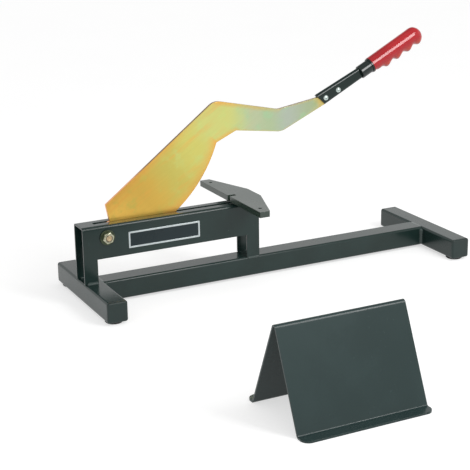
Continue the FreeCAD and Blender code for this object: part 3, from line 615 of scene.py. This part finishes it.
def shell(rows, kinds=None):
    """A closed shell over rings of points, with a pole in the middle of both end rings.

    rows is an array (ring, place on the ring, xyz). kinds gives a material number for the band
    after each ring. The points, the faces and each face's material number are returned.
    """
    count, around = rows.shape[:2]
    poles = np.stack([rows[0].mean(axis=0), rows[-1].mean(axis=0)])
    points = np.concatenate([rows.reshape(-1, 3), poles])
    ring = np.arange(around)
    after = (ring + 1) % around
    start = np.arange(count - 1)[:, None] * around
    corners = [start + ring, start + after, start + after + around, start + ring + around]
    quads = np.stack(corners, axis=-1).reshape(-1, 4)
    last = (count - 1) * around
    first_cap = np.stack([after, ring, np.full(around, count * around)], axis=-1)
    last_cap = np.stack([last + ring, last + after, np.full(around, count * around + 1)], axis=-1)
    faces = quads.tolist() + first_cap.tolist() + last_cap.tolist()
    kinds = np.zeros(count - 1, int) if kinds is None else np.array(kinds)
    numbers = np.repeat(np.concatenate([kinds, kinds[:1], kinds[-1:]]), around)
    return points, faces, numbers


def joined(shells):
    """One piece's points, faces and material numbers from several shells."""
    points, faces, kinds = [], [], []
    count = 0
    for shell_points, shell_faces, shell_kinds in shells:
        points.append(shell_points)
        faces += [[i + count for i in face] for face in shell_faces]
        kinds += list(shell_kinds)
        count += len(shell_points)
    return np.concatenate(points), faces, kinds


def make_piece(name, shells, materials, sharp=40.0):
    """Puts shells into one mesh in metres, points its faces outwards and lets it ride on the frame.

    Edges that are sharper than so many degrees are shaded as edges.
    """
    points, faces, kinds = joined(shells)
    mesh = bpy.data.meshes.new(name)
    mesh.from_pydata((points / 1000.0).tolist(), [], faces)
    for material in materials:
        mesh.materials.append(material)
    mesh.polygons.foreach_set("material_index", np.array(kinds, np.int32))
    mesh.polygons.foreach_set("use_smooth", np.ones(len(faces), bool))
    work = bmesh.new()
    work.from_mesh(mesh)
    bmesh.ops.recalc_face_normals(work, faces=work.faces)
    work.to_mesh(mesh)
    work.free()
    mesh.set_sharp_from_angle(angle=math.radians(sharp))
    piece = bpy.data.objects.new(name, mesh)
    bpy.context.scene.collection.objects.link(piece)
    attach(piece, "frame")
    return piece


def rounded_ring(width, height, radius, steps=8):
    """A rounded rectangle about 0: four quarter circles joined by straight sides."""
    quarter = np.linspace(0, np.pi / 2, steps)
    angles = np.concatenate([quarter + k * np.pi / 2 for k in range(4)])
    across = np.repeat([1, -1, -1, 1], steps) * (width / 2 - radius)
    above = np.repeat([1, 1, -1, -1], steps) * (height / 2 - radius)
    return np.stack([across + radius * np.cos(angles), above + radius * np.sin(angles)], axis=1)


def label_plate():
    """A bare label plate on the beam: a dark field inside a raised bright border.

    Rings of one rounded rectangle. Each pair below is a ring's inset and its height over the
    beam's face.
    """
    beam_low, beam_high = box_in_mm("beam_channel")
    middle = np.array(
        [beam_low[0] + LABEL_INSET + LABEL_WIDTH / 2, beam_low[1], beam_high[2] - LABEL_DROP]
    )
    crest, deep = LABEL_THICKNESS, 0.28
    border = [(0.0, 0.0), (0.0, 0.32), (0.06, 0.41)]
    border += [(inset, crest) for inset in (0.16, 1.3, LABEL_BORDER)]
    field = [(2.8, 0.40)]
    field += [(inset, deep) for inset in (2.9, 4.5, 9.0, 13.0)]
    rings = []
    for inset, level in border + field:
        size = (LABEL_WIDTH - 2 * inset, LABEL_HEIGHT - 2 * inset)
        flat = rounded_ring(*size, max(LABEL_CORNER - inset, 0.25))
        depth = np.full(len(flat), -level)
        rings.append(np.stack([flat[:, 0], depth, flat[:, 1]], axis=1) + middle)
    kinds = [0] * len(border) + [1] * (len(field) - 1)
    silver = plated_metal(
        "label_border_silver", (0.50, 0.55, 0.56), (0.58, 0.64, 0.65), roughness=0.38
    )
    dark = powder_paint(
        "label_field_dark",
        (0.004, 0.014, 0.017),
        (0.006, 0.018, 0.022),
        roughness=0.28,
        edge_radius=0.0003,
    )
    make_piece("label_plate", [shell(np.array(rings), kinds)], [silver, dark])


def threaded_bolt():
    """The pivot bolt: one surface r(angle, y) about the pivot's axis, dimpled at its tip.

    On the thread r dips by a cosine of the angle less the turns gone by, so that the groove winds
    up. On the head r is the hexagon's, cut down by a cone at both ends.
    """
    middle = 1000.0 * PIVOT
    low, high = box_in_mm("pivot_bolt")
    tip, head_end = low[1] - middle[1], high[1] - middle[1]
    seat = box_in_mm("back_washer")[1][1] - middle[1]
    thread_end = tip + THREAD_LENGTH
    half_flats = (high[2] - low[2]) / 2

    sides = 96
    angles = np.linspace(0, 2 * np.pi, sides, endpoint=False)
    one_ring = np.ones((1, sides))
    turns = np.arange(tip + THREAD_STEP, thread_end, THREAD_STEP)
    places = np.concatenate([[tip, tip + 0.02], turns, [thread_end, seat]])[:, None]
    turn = 2 * np.pi * places / THREAD_PITCH - angles[None, :]
    dip = THREAD_DEPTH * (0.5 - 0.5 * np.cos(turn)) ** 0.8 * (places < thread_end)
    tip_cone = THREAD_RADIUS - TIP_CHAMFER + 1.1 * (places - tip)
    shank = np.minimum(THREAD_RADIUS - dip, tip_cone)

    lower_chamfer = np.linspace(seat, seat + HEAD_CHAMFER, 6)
    upper_chamfer = np.linspace(head_end - HEAD_CHAMFER, head_end, 6)
    head_places = np.concatenate([[seat], lower_chamfer, upper_chamfer])
    head_cones = np.minimum(head_places - seat, head_end - head_places)[:, None] / HEAD_SLOPE
    hexagon = half_flats / np.cos(np.mod(angles, np.pi / 3) - np.pi / 6)
    head = np.minimum(hexagon[None, :], half_flats + head_cones)

    dimple = np.array([0.25, 0.6, 1.1, 1.25, 3.0])[:, None] * one_ring
    dimple_places = tip + np.array([0.75, 0.62, 0.12, 0.0, 0.0])
    dish = 6.6 * one_ring
    dish_place = head_end - 0.35
    r = np.concatenate([dimple, shank, head, dish])
    y = np.concatenate([dimple_places, places[:, 0], head_places, [dish_place]])
    x_places = middle[0] + r * np.cos(angles)
    y_places = np.broadcast_to((middle[1] + y)[:, None], r.shape)
    z_places = middle[2] + r * np.sin(angles)
    rows = np.stack([x_places, y_places, z_places], axis=2)
    steel = plated_metal(
        "pivot_bolt_steel", screen(186, 164, 130), screen(206, 188, 154), roughness=0.34
    )
    piece = make_piece("threaded_bolt", [shell(rows)], [steel], 32.0)
    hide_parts("pivot_bolt")


def bead(start, end, out, up, radius):
    """A weld bead along a line, a tube with overlapping scales.

    Round the tube the radius is a superellipse's, almost a square on its corner, so that the
    bead's face is nearly flat. It falls to nothing at the ends as a power of the distance, and
    swells by a cosine of the length gone by, less a share of the angle, which makes each scale a
    crescent.
    """
    sides, rings_per_mm, power = 28, 8, 1.4
    end_length, thinnest = 5.0, 0.05
    swell, crescent, unevenness = 0.08, 1.3, 0.09
    start, end, out, up = (np.array(v, float) for v in (start, end, out, up))
    run = end - start
    length = np.linalg.norm(run)
    around = np.linspace(0, 2 * np.pi, sides, endpoint=False)
    along = np.linspace(0, 1, 15 + int(length * rings_per_mm))[:, None]
    facing = np.cos(around - np.pi / 4)
    taper = (1 - np.abs(2 * along - 1) ** (2 * length / end_length)) ** 0.5
    scales = np.cos(2 * np.pi * (along * length / SCALE_PITCH) - crescent * facing)
    square = (np.abs(np.cos(around)) ** power + np.abs(np.sin(around)) ** power) ** (-1 / power)
    r = radius * square * np.maximum(taper, thinnest)
    r = r * (1 + swell * scales * (0.6 + 0.4 * facing))
    r = r * (1 + unevenness * np.sin(along * 9.0 + start[0]))
    across = (r * np.cos(around))[..., None] * out
    above = (r * np.sin(around))[..., None] * up
    return shell(start + along[..., None] * run + across + above)


def ground_weld(x, into, middle_y, top):
    """A weld ground flush, where the base tube's top meets the rounded corner of a foot.

    Its section fills the wedge between the corner and the tube's end. Along y the section sinks
    by the circle of the tube's own corners. into is the way to the foot's middle.
    """
    corner, flat, end = 3.0, 14.5, 17.3
    over_top = [(3.4, -0.1), (3.4, 0.03), (1.6, 0.03), (-0.4, 0.03)]
    under_top = [(-0.4, -2.6), (0.2, -2.4), (0.8, -1.3), (1.9, -0.6)]
    section = np.array(over_top + under_top)
    y = np.concatenate([np.linspace(-end, -flat, 9), np.linspace(flat, end, 9)])
    drop = corner - np.sqrt(corner**2 - np.maximum(np.abs(y) - flat, 0) ** 2)
    rows = np.empty((len(y), len(section), 3))
    rows[:, :, 0] = x + into * section[None, :, 0]
    rows[:, :, 1] = middle_y + y[:, None]
    rows[:, :, 2] = top + section[None, :, 1] - drop[:, None]
    return shell(rows)


def weld_ripples():
    """Weld beads with scales at the post, the leg and both ends of the base tube."""
    tube_low, tube_high = box_in_mm("base_tube")
    beam_low, beam_high = box_in_mm("beam_channel")
    middle_y = (tube_low[1] + tube_high[1]) / 2
    half_width = (tube_high[1] - tube_low[1]) / 2
    top = tube_high[2]
    post_ends = [beam_low[0] + inset for inset in POST_WELD_INSETS]
    leg_ends = [beam_high[0] - inset for inset in LEG_WELD_INSETS]
    up = (0, 0, 1)
    beads = []
    for side in (-1, 1):
        out = (0, side, 0)
        beside = middle_y + side * (half_width + WELD_OFFSET)
        under = middle_y + side * (half_width - LEG_WELD_SUNK)
        post = [(x, beside, top + WELD_OFFSET) for x in post_ends]
        leg = [(x, under, top - LEG_WELD_SUNK) for x in leg_ends]
        beads.append(bead(*post, out, up, POST_WELD_RADIUS))
        beads.append(bead(*leg, out, up, LEG_WELD_RADIUS))
        for tube_end, inwards in ((tube_low[0], 1), (tube_high[0], -1)):
            x = tube_end + WELD_OFFSET * inwards
            corner = [(x, beside, z) for z in (END_WELD_LOW, END_WELD_HIGH)]
            beads.append(bead(*corner, out, (inwards, 0, 0), END_WELD_RADIUS))
    beads.append(ground_weld(tube_low[0], -1, middle_y, top))
    beads.append(ground_weld(tube_high[0], 1, middle_y, top))
    # The beads' paint is paler than the frame's: a painted highlight for the light the weld beads catch.
    paint = powder_paint(
        "weld_powder_paint",
        (0.034, 0.056, 0.052),
        (0.052, 0.080, 0.074),
        roughness=0.18,
        edge_radius=0.0002,
        specular=0.7,
    )
    piece = make_piece("weld_ripples", beads, [paint], 60.0)
    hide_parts("weld_beads")


def camera():
    """The photograph's view: azimuth, height and roll solved from the object's own edges."""
    angles = (CAMERA_AZIMUTH, CAMERA_HEIGHT, CAMERA_ROLL)
    azimuth, height, roll = (math.radians(angle) for angle in angles)
    level = math.cos(height)
    back = Vector((math.sin(azimuth) * level, -math.cos(azimuth) * level, math.sin(height)))
    right = (-back).cross(Vector((0, 0, 1))).normalized()
    up = right.cross(-back)
    across = math.cos(roll) * right + math.sin(roll) * up
    above = -math.sin(roll) * right + math.cos(roll) * up
    turn = Matrix((across, above, back)).transposed().to_4x4()
    data = bpy.data.cameras.new("view")
    data.sensor_width = SENSOR_WIDTH
    data.lens = FOCAL_PIXELS / PICTURE_PIXELS * SENSOR_WIDTH
    data.clip_start, data.clip_end = 0.05, 60.0
    view = bpy.data.objects.new("view", data)
    view.matrix_world = Matrix.Translation(CAMERA_PLACE) @ turn
    bpy.context.scene.collection.objects.link(view)
    bpy.context.scene.camera = view


def hang(light, towards, place):
    """Puts a light at a place. It shines against the direction towards, which leads back to it."""
    lamp = bpy.data.objects.new(light.name, light)
    turn = Vector(towards).to_track_quat("Z", "Y").to_matrix().to_4x4()
    lamp.matrix_world = Matrix.Translation(place) @ turn
    bpy.context.scene.collection.objects.link(lamp)


def lights():
    """A soft ceiling, and a lamp before and over the grip, which mirrors it as a bright line."""
    ceiling = bpy.data.lights.new("ceiling_light", "SUN")
    ceiling.energy = 0.5
    ceiling.angle = math.radians(90.0)
    hang(ceiling, towards=(0.10, -0.45, 0.89), place=(0, 0, 0))
    front = bpy.data.lights.new("front_lamp", "AREA")
    front.shape = "RECTANGLE"
    front.size, front.size_y = 0.5, 0.75
    front.energy = 11.5
    hang(front, towards=(0.1744, -0.8295, 0.5307), place=(0.482, -0.991, 1.162))


def surroundings():
    """A white room, at full strength up to a sine of height of 0.40 and darker above it."""
    world = bpy.data.worlds.new("studio")
    world.use_nodes = True
    f = Finish(world.node_tree)
    height = f.parts(f.add("ShaderNodeTexCoord", output="Generated"))[2]
    strength = 1.0 - 0.6 * height.fade(0.40, 0.68)
    white = f.add("ShaderNodeBackground", None, {"Color": rgba((1, 1, 1)), "Strength": strength})
    f.add("ShaderNodeOutputWorld", None, {0: white})
    bpy.context.scene.world = world


def seen_or_mirrored(f):
    """1 for rays that the camera, a gloss or a clear surface sees, and 0 for light on a surface."""
    seen = f.add("ShaderNodeLightPath", output="Is Camera Ray")
    rays = seen.socket.node.outputs
    mirrored = Wire(f, rays["Is Glossy Ray"]).most(Wire(f, rays["Is Transmission Ray"]))
    return seen.most(mirrored)


def floor():
    """A pale round floor that keeps the object's shadow. It glows where it is seen or mirrored."""
    material, f = new_finish("floor_white")
    grain = f.noise(f.place(), 3.0)
    tone = f.mix(grain, (0.53, 0.53, 0.53), (0.55, 0.55, 0.55))
    paper = f.add("ShaderNodeBsdfDiffuse", None, {0: tone})
    glow = f.add("ShaderNodeEmission", None, {0: rgba((1, 1, 1)), 1: 0.59 * seen_or_mirrored(f)})
    both = f.add("ShaderNodeAddShader", None, {0: paper, 1: glow})
    f.add("ShaderNodeOutputMaterial", None, {0: both})
    radius, sides = 30.0, 96
    angles = np.linspace(0, 2 * np.pi, sides, endpoint=False)
    ring = np.stack([radius * np.cos(angles), radius * np.sin(angles), np.zeros(sides)], axis=1)
    mesh = bpy.data.meshes.new("floor")
    mesh.from_pydata(ring.tolist(), [], [list(range(sides))])
    mesh.materials.append(material)
    disc = bpy.data.objects.new("floor", mesh)
    bpy.context.scene.collection.objects.link(disc)


camera()
lights()
surroundings()
floor()
dress_solids()
label_plate()
threaded_bolt()
weld_ripples()
bpy.context.scene.view_settings.view_transform = "Standard"
